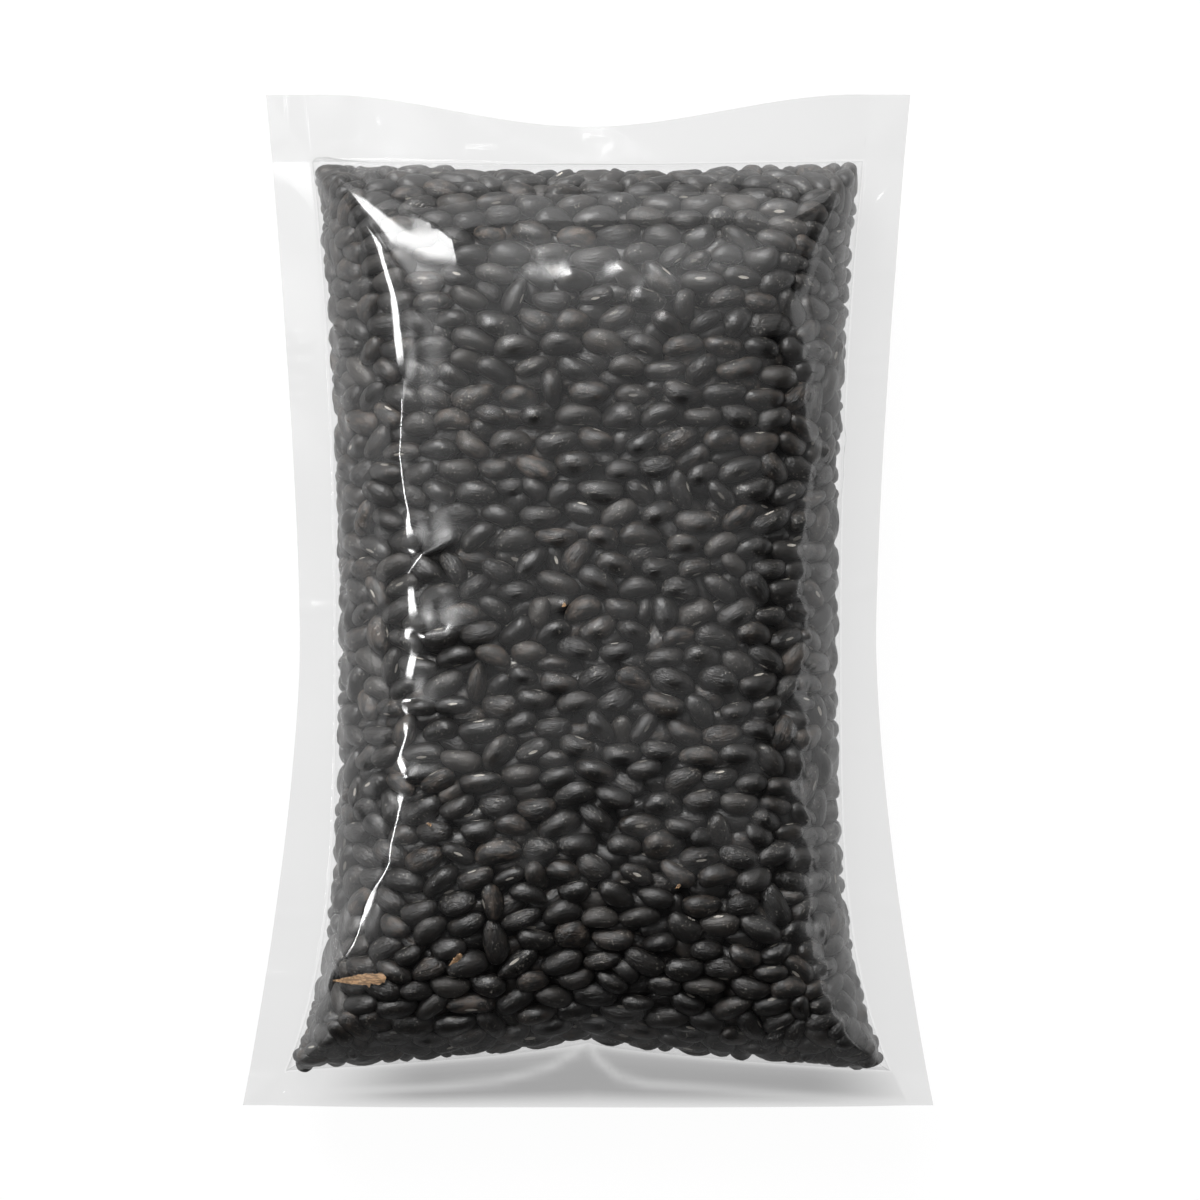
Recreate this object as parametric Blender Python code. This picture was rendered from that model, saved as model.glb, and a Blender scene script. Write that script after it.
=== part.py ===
"""Sealed clear bag of dried black beans, lying on its back.

The pouch is two sheets of film welded all round into a flat margin. The beans fill it to a
pillow with round shoulders, a flat back that rests on the table, and a corner ridge running
in from each corner. The film is drawn over the beans, so the solid has a low bump for every
bean that shows. +X is the bag's right, +Y runs from the foot seal to the head seal and +Z
points away from the table. Sizes are in metres.
"""

import math
import random

import bmesh
import bpy
import numpy as np
from mathutils import Vector

# The pouch's outline. The waist is where the full bag draws its edges in.
POUCH_LENGTH = 0.254
POUCH_FOOT_HALF_WIDTH = 0.0868
POUCH_WAIST_HALF_WIDTH = 0.0721
POUCH_HEAD_HALF_WIDTH = 0.0810
POUCH_WAIST_FROM_FOOT = 0.117
POUCH_FOOT_FLARE = 1.6
POUCH_HEAD_FLARE = 1.5
HEAD_EDGE_DIP = 0.0085

# The outline of the beans inside it.
FILL_FOOT_HALF_WIDTH = 0.0760
FILL_WAIST_HALF_WIDTH = 0.0632
FILL_HEAD_HALF_WIDTH = 0.0690
FILL_WAIST_FROM_FOOT = 0.122
FILL_FOOT_FLARE = 3.8
FILL_HEAD_FLARE = 2.0
FILL_FOOT_FROM_EDGE = 0.0088
FILL_FOOT_NOTCH = 0.0075
FILL_FOOT_NOTCH_POWER = 0.7
FILL_HEAD_FROM_FOOT = 0.2370
FILL_HEAD_DIP = 0.0012

# Heights above the table.
BAG_THICKNESS = 0.050
SEAM_HEIGHT = 0.0185
SEAM_CORNER_DROP = 0.0060
SEAM_CORNER_DROP_POWER = 4
MARGIN_DROOP = 0.0030
MARGIN_WAVE = 0.0007
MARGIN_WAVE_LENGTH = 0.036
MARGIN_WAVE_SLANT = 0.6
MARGIN_THICKNESS = 0.0006

# How the pillow swells: 1 at the middle, 0 at the seam.
SIDE_FULLNESS = 3.5
END_FULLNESS = 5.0
SHOULDER_ROUNDNESS = 2.1
CORNER_RIDGE_SOFTNESS = 0.10
BACK_FLATTENING = 1.10

# The beans that show through the film.
BEANS_ACROSS = 14
BEANS_ALONG = 33
BEAN_RELIEF = 0.0017
BEAN_RIM_SHARE = 0.75
BEAN_SHOULDER = 0.0016
BEAN_END_ROUNDING = 0.14
BEAN_UNEVENNESS = 0.15
BEAN_SEED = 7

MARGIN_STEPS = (0.5, 1.0)
ARC_SAMPLES = 400
SLOPE_STEP = 0.002

BAG_COLOUR = (0.030, 0.029, 0.028, 1.0)
BAG_ROUGHNESS = 0.28


def clear_scene():
    for obj in list(bpy.data.objects):
        bpy.data.objects.remove(obj, do_unlink=True)


def flared(y, waist_y, waist, foot, head, foot_end, head_end, foot_power, head_power):
    """A half width at y: least at the waist, growing by a power of the way to each end."""
    if y < waist_y:
        return waist + (foot - waist) * ((waist_y - y) / (waist_y - foot_end)) ** foot_power
    return waist + (head - waist) * ((y - waist_y) / (head_end - waist_y)) ** head_power


def pouch_half_width(y):
    return flared(y, POUCH_WAIST_FROM_FOOT, POUCH_WAIST_HALF_WIDTH, POUCH_FOOT_HALF_WIDTH,
                  POUCH_HEAD_HALF_WIDTH, 0.0, POUCH_LENGTH, POUCH_FOOT_FLARE, POUCH_HEAD_FLARE)


def fill_half_width(y):
    return flared(y, FILL_WAIST_FROM_FOOT, FILL_WAIST_HALF_WIDTH, FILL_FOOT_HALF_WIDTH,
                  FILL_HEAD_HALF_WIDTH, FILL_FOOT_FROM_EDGE, FILL_HEAD_FROM_FOOT,
                  FILL_FOOT_FLARE, FILL_HEAD_FLARE)


def fill_foot(across):
    """Where the beans end at the foot, with the notch that the film pinches at its middle."""
    return FILL_FOOT_FROM_EDGE + FILL_FOOT_NOTCH * (1 - abs(across) ** FILL_FOOT_NOTCH_POWER)


def fill_head(across):
    return FILL_HEAD_FROM_FOOT - FILL_HEAD_DIP * math.cos(across * math.pi / 2)


def pouch_head(across):
    """The head seal's cut edge, which the full bag pulls down at its middle."""
    return POUCH_LENGTH - HEAD_EDGE_DIP * max(math.cos(across * math.pi / 2), 0.0) ** 2


def mix(a, b, share):
    return a + (b - a) * share


def soft_least(a, b, softness):
    """The lesser of two values, rounded where they meet."""
    near = max(softness - abs(a - b), 0.0) / softness
    return max(min(a, b) - near * near * softness / 4, 0.0)


def swell(across, along):
    """The pillow's rise from its seam, from 0 to 1, with a ridge in from each corner."""
    side = (1 - abs(across) ** SIDE_FULLNESS) ** (1 / SHOULDER_ROUNDNESS)
    end = (1 - abs(along) ** END_FULLNESS) ** (1 / SHOULDER_ROUNDNESS)
    return soft_least(side, end, CORNER_RIDGE_SOFTNESS)


def pouch_point(across, along, upper):
    """A point of the smooth bag. Across and along run from -1 to 1 over the beans and on to 2
    over the welded margin."""
    side, end = min(abs(across), 1.0), min(abs(along), 1.0)
    margin_x, margin_y = abs(across) - side, abs(along) - end
    p, q = math.copysign(side, across), math.copysign(end, along)
    y = mix(fill_foot(p), fill_head(p), (q + 1) / 2)
    if margin_y:
        y = mix(y, pouch_head(p) if along > 0 else 0.0, margin_y)
    half = fill_half_width(y) * side
    if margin_x:
        half = mix(half, pouch_half_width(y), margin_x)
    x = math.copysign(half, across)
    outward = max(margin_x, margin_y)
    wave_turn = math.tau * (y + MARGIN_WAVE_SLANT * x) / MARGIN_WAVE_LENGTH
    wave = math.sin(wave_turn) * MARGIN_WAVE * outward
    corner_drop = SEAM_CORNER_DROP * (side * end) ** SEAM_CORNER_DROP_POWER
    seam = SEAM_HEIGHT - corner_drop - MARGIN_DROOP * outward + wave
    rise = swell(p, q)
    if upper:
        z = seam + MARGIN_THICKNESS / 2 + (BAG_THICKNESS - seam) * rise
    else:
        back = seam - MARGIN_THICKNESS / 2
        z = back * (1 - min(rise * BACK_FLATTENING, 1.0))
    return Vector((x, y - POUCH_LENGTH / 2, z))


def inward(across, along, upper):
    """The unit direction into the bag at a point of its skin."""
    across_way = (pouch_point(across + SLOPE_STEP, along, upper)
                  - pouch_point(across - SLOPE_STEP, along, upper))
    along_way = (pouch_point(across, along + SLOPE_STEP, upper)
                 - pouch_point(across, along - SLOPE_STEP, upper))
    out = across_way.cross(along_way).normalized()
    return -out if upper else out


def even_steps(curve, count):
    """Shares from -1 to 1 that are evenly spaced along a curve of the bag's front."""
    shares = np.linspace(-1, 1, ARC_SAMPLES)
    points = np.array([curve(share) for share in shares])
    lengths = np.linalg.norm(np.diff(points, axis=0), axis=1)
    travelled = np.concatenate([[0], np.cumsum(lengths)])
    return np.interp(np.linspace(0, travelled[-1], count), travelled, shares)


def with_margins(steps):
    """Adds the welded margin's steps beyond both ends of a list of shares."""
    beyond = [1 + step for step in MARGIN_STEPS]
    return [-step for step in reversed(beyond)] + list(steps) + beyond


def is_bean_middle(row, column):
    """Whether a grid line between two rows crosses the middle of a bean: the rows are staggered
    like bricks, and each brick is one bean."""
    return (column - row % 2) % 2 == 1


class BagGrid:
    """The lines on which the skin is laid out. Row and column 0 are the seam's, and the welded
    margin has the numbers below 0 and past the last."""

    def __init__(self):
        self.columns = BEANS_ACROSS * 2
        self.rows = BEANS_ALONG
        self.across = with_margins(even_steps(
            lambda share: pouch_point(share, 0.0, True), self.columns + 1))
        self.along = with_margins(even_steps(
            lambda share: pouch_point(0.0, share, True), self.rows + 1))
        chance = random.Random(BEAN_SEED)
        self.shifts = {(row, column): (chance.uniform(-1, 1), chance.uniform(-1, 1))
                       for row in range(self.rows + 1) for column in range(self.columns + 1)}

    def place(self, index):
        """The row and column of a grid corner, counted from the first margin line."""
        row, column = divmod(index, len(self.across))
        return row - len(MARGIN_STEPS), column - len(MARGIN_STEPS)

    def inside(self, row, column):
        return 0 < row < self.rows and 0 < column < self.columns

    def corner(self, row, column, upper):
        """A corner of the grid on the skin. Inside the seam it lies in a groove between beans,
        and the grooves zigzag round the beans' ends."""
        first = len(MARGIN_STEPS)
        across, along = self.across[column + first], self.along[row + first]
        if not self.inside(row, column):
            return pouch_point(across, along, upper)
        step_across = self.across[column + first + 1] - across
        step_along = self.along[row + first + 1] - along
        shift_across, shift_along = self.shifts[row, column]
        zigzag = -BEAN_END_ROUNDING if is_bean_middle(row, column) else BEAN_END_ROUNDING
        across += step_across * shift_across * BEAN_UNEVENNESS
        along += step_along * (zigzag + shift_along * BEAN_UNEVENNESS)
        skin = pouch_point(across, along, upper)
        if not upper and skin.z < BEAN_RELIEF:
            return skin
        return skin + inward(across, along, upper) * BEAN_RELIEF


def joined_into_beans(bm, grid, sheet):
    """Merges the two grid faces of each bean on one sheet, and returns the beans' faces."""
    places = {vert: grid.place(index) for index, vert in enumerate(sheet)}
    middles = set()
    for vert, (row, column) in places.items():
        if not (0 <= row < grid.rows and 0 < column < grid.columns):
            continue
        if is_bean_middle(row, column):
            middles.update(edge for edge in vert.link_edges
                           if places.get(edge.other_vert(vert)) == (row + 1, column))
    bmesh.ops.dissolve_edges(bm, edges=list(middles), use_verts=False)
    return [face for face in bm.faces
            if len(face.verts) > 4 and all(vert in places for vert in face.verts)]


def raise_front_beans(bm, faces):
    """A bean under the front film: a rim that rises from the grooves, and a low crown."""
    bmesh.ops.inset_individual(bm, faces=faces, thickness=BEAN_SHOULDER,
                               depth=BEAN_RELIEF * BEAN_RIM_SHARE)
    bmesh.ops.poke(bm, faces=faces, offset=BEAN_RELIEF * (1 - BEAN_RIM_SHARE))


def raise_back_beans(bm, faces):
    """Beans on the back's shoulders, where the film leaves the table. Those that lie on it are
    pressed flat."""
    loose = [face for face in faces if max(vert.co.z for vert in face.verts) > BEAN_RELIEF]
    peaks = bmesh.ops.poke(bm, faces=loose, offset=BEAN_RELIEF)["verts"]
    for vert in peaks:
        vert.co.z = max(vert.co.z, 0.0)


def bag_mesh():
    grid = BagGrid()
    bm = bmesh.new()
    bmesh.ops.create_grid(bm, x_segments=len(grid.across) - 1,
                          y_segments=len(grid.along) - 1, size=1.0)
    back = list(bm.verts)
    raised = bmesh.ops.extrude_face_region(bm, geom=list(bm.faces))["geom"]
    front = [item for item in raised if isinstance(item, bmesh.types.BMVert)]
    for upper, sheet in ((False, back), (True, front)):
        sheet.sort(key=lambda vert: (round(vert.co.y, 5), round(vert.co.x, 5)))
        for index, vert in enumerate(sheet):
            vert.co = grid.corner(*grid.place(index), upper)
    bmesh.ops.recalc_face_normals(bm, faces=list(bm.faces))
    front_beans = joined_into_beans(bm, grid, front)
    back_beans = joined_into_beans(bm, grid, back)
    raise_front_beans(bm, front_beans)
    raise_back_beans(bm, back_beans)
    bmesh.ops.triangulate(bm, faces=list(bm.faces))
    mesh = bpy.data.meshes.new("bean_bag")
    bm.to_mesh(mesh)
    bm.free()
    return mesh


def beans_under_film():
    material = bpy.data.materials.new("beans_under_film")
    material.use_nodes = True
    shader = material.node_tree.nodes["Principled BSDF"]
    shader.inputs["Base Color"].default_value = BAG_COLOUR
    shader.inputs["Roughness"].default_value = BAG_ROUGHNESS
    shader.inputs["Metallic"].default_value = 0.0
    return material


def main():
    clear_scene()
    collection = bpy.data.collections.new("bag_of_dried_beans")
    bpy.context.scene.collection.children.link(collection)
    bag = bpy.data.objects.new("bean_bag", bag_mesh())
    bag.data.materials.append(beans_under_film())
    collection.objects.link(bag)


main()
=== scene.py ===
"""Looks of a sealed clear bag of dried black beans, lying on its back.

Two sheets of clear film are welded all round into a flat margin. Between them lies a heap of
beans, packed until they touch and press against the film, over a dark core that stands for the
beans that nobody sees. The film is drawn over the beans like a taut skin, with the folds that
run in from its corners and the puckers across its left shoulder. Sizes are in metres, +Z is up
from the table and +Y runs from the foot seal to the head seal.
"""

import math
from functools import lru_cache

import bpy
import numpy as np
from bpy.props import FloatProperty, FloatVectorProperty, IntProperty, PointerProperty
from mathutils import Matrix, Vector
from mathutils.bvhtree import BVHTree
from mathutils.kdtree import KDTree


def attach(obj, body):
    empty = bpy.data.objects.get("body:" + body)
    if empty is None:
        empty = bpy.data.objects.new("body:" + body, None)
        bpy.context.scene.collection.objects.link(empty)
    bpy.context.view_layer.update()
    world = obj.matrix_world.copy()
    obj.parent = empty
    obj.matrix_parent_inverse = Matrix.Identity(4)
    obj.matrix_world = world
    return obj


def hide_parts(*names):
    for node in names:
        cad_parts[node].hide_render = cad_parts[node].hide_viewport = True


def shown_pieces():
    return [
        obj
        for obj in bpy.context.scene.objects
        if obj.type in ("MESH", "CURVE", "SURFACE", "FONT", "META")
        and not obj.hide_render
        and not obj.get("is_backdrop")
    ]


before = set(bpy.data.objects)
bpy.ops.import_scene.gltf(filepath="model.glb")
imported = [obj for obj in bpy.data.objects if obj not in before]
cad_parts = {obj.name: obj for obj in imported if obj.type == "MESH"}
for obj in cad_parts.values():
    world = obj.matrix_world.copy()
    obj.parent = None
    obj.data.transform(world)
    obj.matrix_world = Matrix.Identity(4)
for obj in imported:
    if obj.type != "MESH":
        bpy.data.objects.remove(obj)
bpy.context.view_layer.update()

bl_info = {
    "name": "Bag of dried beans",
    "version": (1, 0, 0),
    "blender": (4, 5, 0),
    "location": "3D View > Sidebar > Bean bag",
    "description": "Fills a clear welded bag with dried beans and sets it on a pale table",
    "category": "Object",
}

NODE = "bean_bag"
BODY = "root"
MM = 0.001

# The pouch's outline, as in the solid. The waist is where the full bag draws its edges in.
POUCH_LENGTH = 0.254
POUCH_FOOT_HALF_WIDTH = 0.0868
POUCH_WAIST_HALF_WIDTH = 0.0721
POUCH_HEAD_HALF_WIDTH = 0.0810
POUCH_WAIST_FROM_FOOT = 0.117
POUCH_FOOT_FLARE = 1.6
POUCH_HEAD_FLARE = 1.5
HEAD_EDGE_DIP = 0.0085

# The outline of the beans inside it.
FILL_FOOT_HALF_WIDTH = 0.0760
FILL_WAIST_HALF_WIDTH = 0.0632
FILL_HEAD_HALF_WIDTH = 0.0690
FILL_WAIST_FROM_FOOT = 0.122
FILL_FOOT_FLARE = 3.8
FILL_HEAD_FLARE = 2.0
FILL_FOOT_FROM_EDGE = 0.0088
FILL_FOOT_NOTCH = 0.0075
FILL_FOOT_NOTCH_POWER = 0.7
FILL_HEAD_FROM_FOOT = 0.2370
FILL_HEAD_DIP = 0.0012

# Heights above the table.
BAG_THICKNESS = 0.050
SEAM_HEIGHT = 0.0185
SEAM_CORNER_DROP = 0.0060
SEAM_CORNER_DROP_POWER = 4
MARGIN_DROOP = 0.0016
MARGIN_WAVE = 0.0003
MARGIN_WAVE_LENGTH = 0.036
MARGIN_WAVE_SLANT = 0.6

# How the pillow swells: 1 at the middle, 0 at the seam.
SIDE_FULLNESS = 3.5
END_FULLNESS = 5.0
SHOULDER_ROUNDNESS = 2.1
CORNER_RIDGE_SOFTNESS = 0.10
BACK_FLATTENING = 1.10

ARC_SAMPLES = 400
SMALLEST = 1e-12


def flared(y, waist_y, waist, foot, head, foot_end, head_end, foot_power, head_power):
    """A half width at y: least at the waist, growing by a power of the way to each end."""
    to_foot = np.clip((waist_y - y) / (waist_y - foot_end), 0, None) ** foot_power
    to_head = np.clip((y - waist_y) / (head_end - waist_y), 0, None) ** head_power
    return waist + (foot - waist) * to_foot + (head - waist) * to_head


def pouch_half_width(y):
    return flared(y, POUCH_WAIST_FROM_FOOT, POUCH_WAIST_HALF_WIDTH, POUCH_FOOT_HALF_WIDTH,
                  POUCH_HEAD_HALF_WIDTH, 0.0, POUCH_LENGTH, POUCH_FOOT_FLARE, POUCH_HEAD_FLARE)


def fill_half_width(y):
    return flared(y, FILL_WAIST_FROM_FOOT, FILL_WAIST_HALF_WIDTH, FILL_FOOT_HALF_WIDTH,
                  FILL_HEAD_HALF_WIDTH, FILL_FOOT_FROM_EDGE, FILL_HEAD_FROM_FOOT,
                  FILL_FOOT_FLARE, FILL_HEAD_FLARE)


def fill_foot(across):
    """Where the beans end at the foot, with the notch that the film pinches at its middle."""
    return FILL_FOOT_FROM_EDGE + FILL_FOOT_NOTCH * (1 - np.abs(across) ** FILL_FOOT_NOTCH_POWER)


def fill_head(across):
    return FILL_HEAD_FROM_FOOT - FILL_HEAD_DIP * np.cos(across * math.pi / 2)


def pouch_head(across):
    """The head seal's cut edge, which the full bag pulls down at its middle."""
    return POUCH_LENGTH - HEAD_EDGE_DIP * np.clip(np.cos(across * math.pi / 2), 0, None) ** 2


def mix(a, b, share):
    return a + (b - a) * share


def ease(share):
    share = np.clip(share, 0, 1)
    return share * share * (3 - 2 * share)


def unit(vectors):
    return vectors / np.maximum(np.linalg.norm(vectors, axis=-1, keepdims=True), SMALLEST)


def soft_least(a, b, softness):
    """The lesser of two values, rounded where they meet."""
    near = np.clip(softness - np.abs(a - b), 0, None) / softness
    return np.clip(np.minimum(a, b) - near * near * softness / 4, 0, None)


def swell(across, along):
    """The pillow's rise from its seam, from 0 to 1, with a ridge in from each corner."""
    side = (1 - np.abs(across) ** SIDE_FULLNESS) ** (1 / SHOULDER_ROUNDNESS)
    end = (1 - np.abs(along) ** END_FULLNESS) ** (1 / SHOULDER_ROUNDNESS)
    return soft_least(side, end, CORNER_RIDGE_SOFTNESS)


def pouch_points(across, along, upper, gap):
    """Points of one smooth sheet. Across and along run from -1 to 1 over the beans and on to 2
    over the welded margin, where the sheets lie a gap apart."""
    side, end = np.minimum(np.abs(across), 1.0), np.minimum(np.abs(along), 1.0)
    margin_x, margin_y = np.abs(across) - side, np.abs(along) - end
    p, q = np.copysign(side, across), np.copysign(end, along)
    y = mix(fill_foot(p), fill_head(p), (q + 1) / 2)
    y = mix(y, np.where(along > 0, pouch_head(p), 0.0), margin_y)
    half = fill_half_width(y) * side
    half = mix(half, pouch_half_width(y), margin_x)
    x = np.copysign(half, across)
    outward = np.maximum(margin_x, margin_y)
    wave_turn = math.tau * (y + MARGIN_WAVE_SLANT * x) / MARGIN_WAVE_LENGTH
    wave = np.sin(wave_turn) * MARGIN_WAVE * outward
    corner_drop = SEAM_CORNER_DROP * (side * end) ** SEAM_CORNER_DROP_POWER
    seam = SEAM_HEIGHT - corner_drop - MARGIN_DROOP * outward + wave
    rise = swell(p, q)
    if upper:
        z = seam + gap / 2 + (BAG_THICKNESS - seam) * rise
    else:
        z = (seam - gap / 2) * (1 - np.minimum(rise * BACK_FLATTENING, 1.0))
    return np.stack([x, y - POUCH_LENGTH / 2, z], axis=-1)


def travelled(curve, finer=None):
    """Shares from -1 to 1 over the bag's front, and how far along a curve each one lies. Where
    the steps are to be finer, the way counts for more."""
    shares = np.linspace(-1, 1, ARC_SAMPLES)
    lengths = np.linalg.norm(np.diff(curve(shares), axis=0), axis=1)
    if finer:
        lengths *= finer((shares[1:] + shares[:-1]) / 2)
    return shares, np.concatenate([[0], np.cumsum(lengths)])


def even_steps(curve, count, finer=None):
    """Shares from -1 to 1 that are evenly spaced along a curve of the bag's front."""
    shares, way = travelled(curve, finer)
    return np.interp(np.linspace(0, way[-1], count), way, shares)


def arc_length(curve, finer=None):
    return travelled(curve, finer)[1][-1]


def front_across(shares):
    return pouch_points(shares, np.zeros_like(shares), True, 0.0)


def front_along(shares):
    return pouch_points(np.zeros_like(shares), shares, True, 0.0)


def sheet_shares(spacing, margin_steps, finer_across=None, finer_along=None):
    """The shares across and along a sheet's grid, the welded margins among them."""
    lists = []
    for curve, finer in ((front_across, finer_across), (front_along, finer_along)):
        inner = even_steps(curve, round(arc_length(curve, finer) / spacing) + 1, finer)
        beyond = np.linspace(1, 2, margin_steps + 1)[1:]
        lists.append(np.concatenate([-beyond[::-1], inner, beyond]))
    return np.meshgrid(*lists)


def grid_faces(rows, columns, flip=False):
    """The squares of a grid of points, as rows of four corner numbers."""
    first = (np.arange(rows - 1)[:, None] * columns + np.arange(columns - 1)).ravel()
    corners = np.stack([first, first + 1, first + columns + 1, first + columns], axis=1)
    return corners[:, ::-1] if flip else corners


def closed_pouch(spacing):
    """Points and faces of both smooth sheets up to the seam, as one closed skin."""
    across, along = sheet_shares(spacing, 1)
    across, along = across[1:-1, 1:-1], along[1:-1, 1:-1]
    points, faces = [], []
    for upper in (True, False):
        sheet = pouch_points(across, along, upper, 0.0)
        faces.append(grid_faces(*sheet.shape[:2], flip=not upper) + sum(map(len, points)))
        points.append(sheet.reshape(-1, 3))
    return np.concatenate(points), np.concatenate(faces)


def normals_of(points):
    """Unit normals of a grid of points, up out of a front sheet."""
    along_rows = np.gradient(points, axis=1)
    along_columns = np.gradient(points, axis=0)
    normals = np.cross(along_rows, along_columns)
    return unit(normals)


def new_mesh(name, points, faces):
    """A smooth mesh from an array of points and an array of faces with the same corner count."""
    mesh = bpy.data.meshes.new(name)
    mesh.vertices.add(len(points))
    mesh.vertices.foreach_set("co", np.asarray(points, np.float32).ravel())
    mesh.loops.add(faces.size)
    mesh.loops.foreach_set("vertex_index", faces.ravel().astype(np.int32))
    mesh.polygons.add(len(faces))
    mesh.polygons.foreach_set("loop_start", np.arange(0, faces.size, faces.shape[1], dtype=np.int32))
    mesh.update(calc_edges=True)
    mesh.shade_smooth()
    return mesh


def keep_values(mesh, name, values):
    """Stores a number or a vector for each point, for the material to read."""
    kind = "FLOAT" if values.ndim == 1 else "FLOAT_VECTOR"
    attribute = mesh.attributes.new(name, kind, "POINT")
    attribute.data.foreach_set("value" if kind == "FLOAT" else "vector",
                               np.asarray(values, np.float32).ravel())


def new_piece(name, mesh, material, replaced=()):
    """Puts a piece of the bag in the scene, riding on its one body."""
    piece = bpy.data.objects.new(name, mesh)
    mesh.materials.append(material)
    bpy.context.scene.collection.objects.link(piece)
    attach(piece, BODY)
    if replaced:
        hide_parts(*replaced)
    return piece


# The room inside the film

ROOM_SPACING = 0.002
ROOM_PITCH = 0.002
ROOM_BORDER = 0.006


class Room:
    """How deep any point lies inside the film, and which way is in, from a grid of samples."""

    def __init__(self):
        points, faces = closed_pouch(ROOM_SPACING)
        skin = BVHTree.FromPolygons(points.tolist(), faces.tolist())
        self.low = points.min(0) - ROOM_BORDER
        counts = np.ceil((points.max(0) + ROOM_BORDER - self.low) / ROOM_PITCH).astype(int) + 1
        self.depths = np.empty(counts)
        for index in np.ndindex(*counts):
            place = Vector(self.low + np.array(index) * ROOM_PITCH)
            nearest, normal, _, distance = skin.find_nearest(place)
            self.depths[index] = math.copysign(distance, -(place - nearest).dot(normal))

    def look(self, places):
        """The depth at each place, and the unit direction into the bag."""
        spots = (places - self.low) / ROOM_PITCH
        base = np.clip(np.floor(spots).astype(int), 0, np.array(self.depths.shape) - 2)
        part = np.clip(spots - base, 0, 1)
        i, j, k = np.moveaxis(base, -1, 0)
        u, v, w = np.moveaxis(part, -1, 0)
        corner = {(a, b, c): self.depths[i + a, j + b, k + c]
                  for a in (0, 1) for b in (0, 1) for c in (0, 1)}
        edges = {(b, c): mix(corner[0, b, c], corner[1, b, c], u) for b in (0, 1) for c in (0, 1)}
        depth = mix(mix(edges[0, 0], edges[1, 0], v), mix(edges[0, 1], edges[1, 1], v), w)
        slopes = {(b, c): corner[1, b, c] - corner[0, b, c] for b in (0, 1) for c in (0, 1)}
        inward = np.stack([
            mix(mix(slopes[0, 0], slopes[1, 0], v), mix(slopes[0, 1], slopes[1, 1], v), w),
            mix(edges[1, 0] - edges[0, 0], edges[1, 1] - edges[0, 1], w),
            mix(edges[0, 1], edges[1, 1], v) - mix(edges[0, 0], edges[1, 0], v),
        ], axis=-1)
        length = np.maximum(np.linalg.norm(inward, axis=-1, keepdims=True), 1e-9)
        return depth, inward / length


@lru_cache(maxsize=1)
def room():
    return Room()


# The heap of beans

LAYERS = 2
LAYER_DEPTH = 0.0052
FIRST_LAYER_DEPTH = 0.0030
BEAN_PITCH_ALONG = 1.05
BEAN_PITCH_ACROSS = 0.97
SITE_JITTER = 0.33
LIMITS_BY_AXIS = (0.86, 1.15)
LIMITS_BY_BEAN = (0.85, 1.12)
USUAL_TURN = math.radians(17)
STRAY_TURN = math.radians(60)
STRAY_SHARE = 0.22
TILT = 0.12
LEAST_FLATTENING = 0.75
USUAL_ROLL = math.radians(22)
ON_EDGE_SHARE = 0.16
SETTLING_ROUNDS = 200
PAIR_ROUNDS = 8
PUSH_STRENGTH = 1.4
OUTWARD_DRIFT = 0.00003
HEAP_DEPTH = 0.0115
END_BALL_PLACE = 0.48
END_BALL_RADIUS = 0.49
OUTER_BEANS_UNDER = 0.0024
LEAST_UNDER_FILM = 0.00030
MOST_UNDER_FILM = 0.00085
MOST_LIFT = 0.0009
UNDER_FOLDS = 0.0007


def sites(sizes, chance):
    """Places to start from: staggered rows on both sheets, sunk to the depth of each layer."""
    starts, normals = [], []
    for layer in range(LAYERS):
        for upper in (True, False):
            columns = round(arc_length(front_across) / (sizes.length * BEAN_PITCH_ALONG))
            rows = round(arc_length(front_along) / (sizes.width * BEAN_PITCH_ACROSS))
            columns -= layer
            rows -= 2 * layer
            steps_x = even_steps(front_across, 2 * columns + 1)
            steps_y = even_steps(front_along, 2 * rows + 1)
            row, column = np.divmod(np.arange(rows * columns), columns)
            shift = ((row + layer) % 2) - 0.5
            place_x = 2 * column + 1 + shift + chance.uniform(-SITE_JITTER, SITE_JITTER, row.size)
            place_y = 2 * row + 1 + chance.uniform(-SITE_JITTER, SITE_JITTER, row.size)
            across = np.interp(place_x, np.arange(steps_x.size), steps_x)
            along = np.interp(place_y, np.arange(steps_y.size), steps_y)
            skin = pouch_points(across, along, upper, 0.0)
            depth, inward = room().look(skin)
            starts.append(skin + inward * (FIRST_LAYER_DEPTH + LAYER_DEPTH * layer))
            normals.append(inward)
    return np.concatenate(starts), np.concatenate(normals)


def bean_directions(inward, chance):
    """Each bean's long axis: mostly across the bag, as beans settle, and flat to the film."""
    count = len(inward)
    stray = chance.random(count) < STRAY_SHARE
    turn = np.where(stray, chance.normal(0, STRAY_TURN, count), chance.normal(0, USUAL_TURN, count))
    axes = np.stack([np.cos(turn), np.sin(turn), chance.normal(0, TILT, count)], axis=1)
    axes += chance.normal(0, TILT, axes.shape)
    flattening = chance.uniform(LEAST_FLATTENING, 1, (count, 1))
    return unit(axes - inward * (axes * inward).sum(1, keepdims=True) * flattening)


def near_pairs(centres, reach):
    """The pairs of beans whose centres are within reach of each other."""
    tree = KDTree(len(centres))
    for index, centre in enumerate(centres):
        tree.insert(centre, index)
    tree.balance()
    pairs = [(index, other) for index, centre in enumerate(centres)
             for _, other, _ in tree.find_range(centre, reach) if other > index]
    return np.array(pairs).T


def sum_by(index, values, count):
    return np.stack([np.bincount(index, values[:, axis], count) for axis in range(3)], axis=1)


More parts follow.
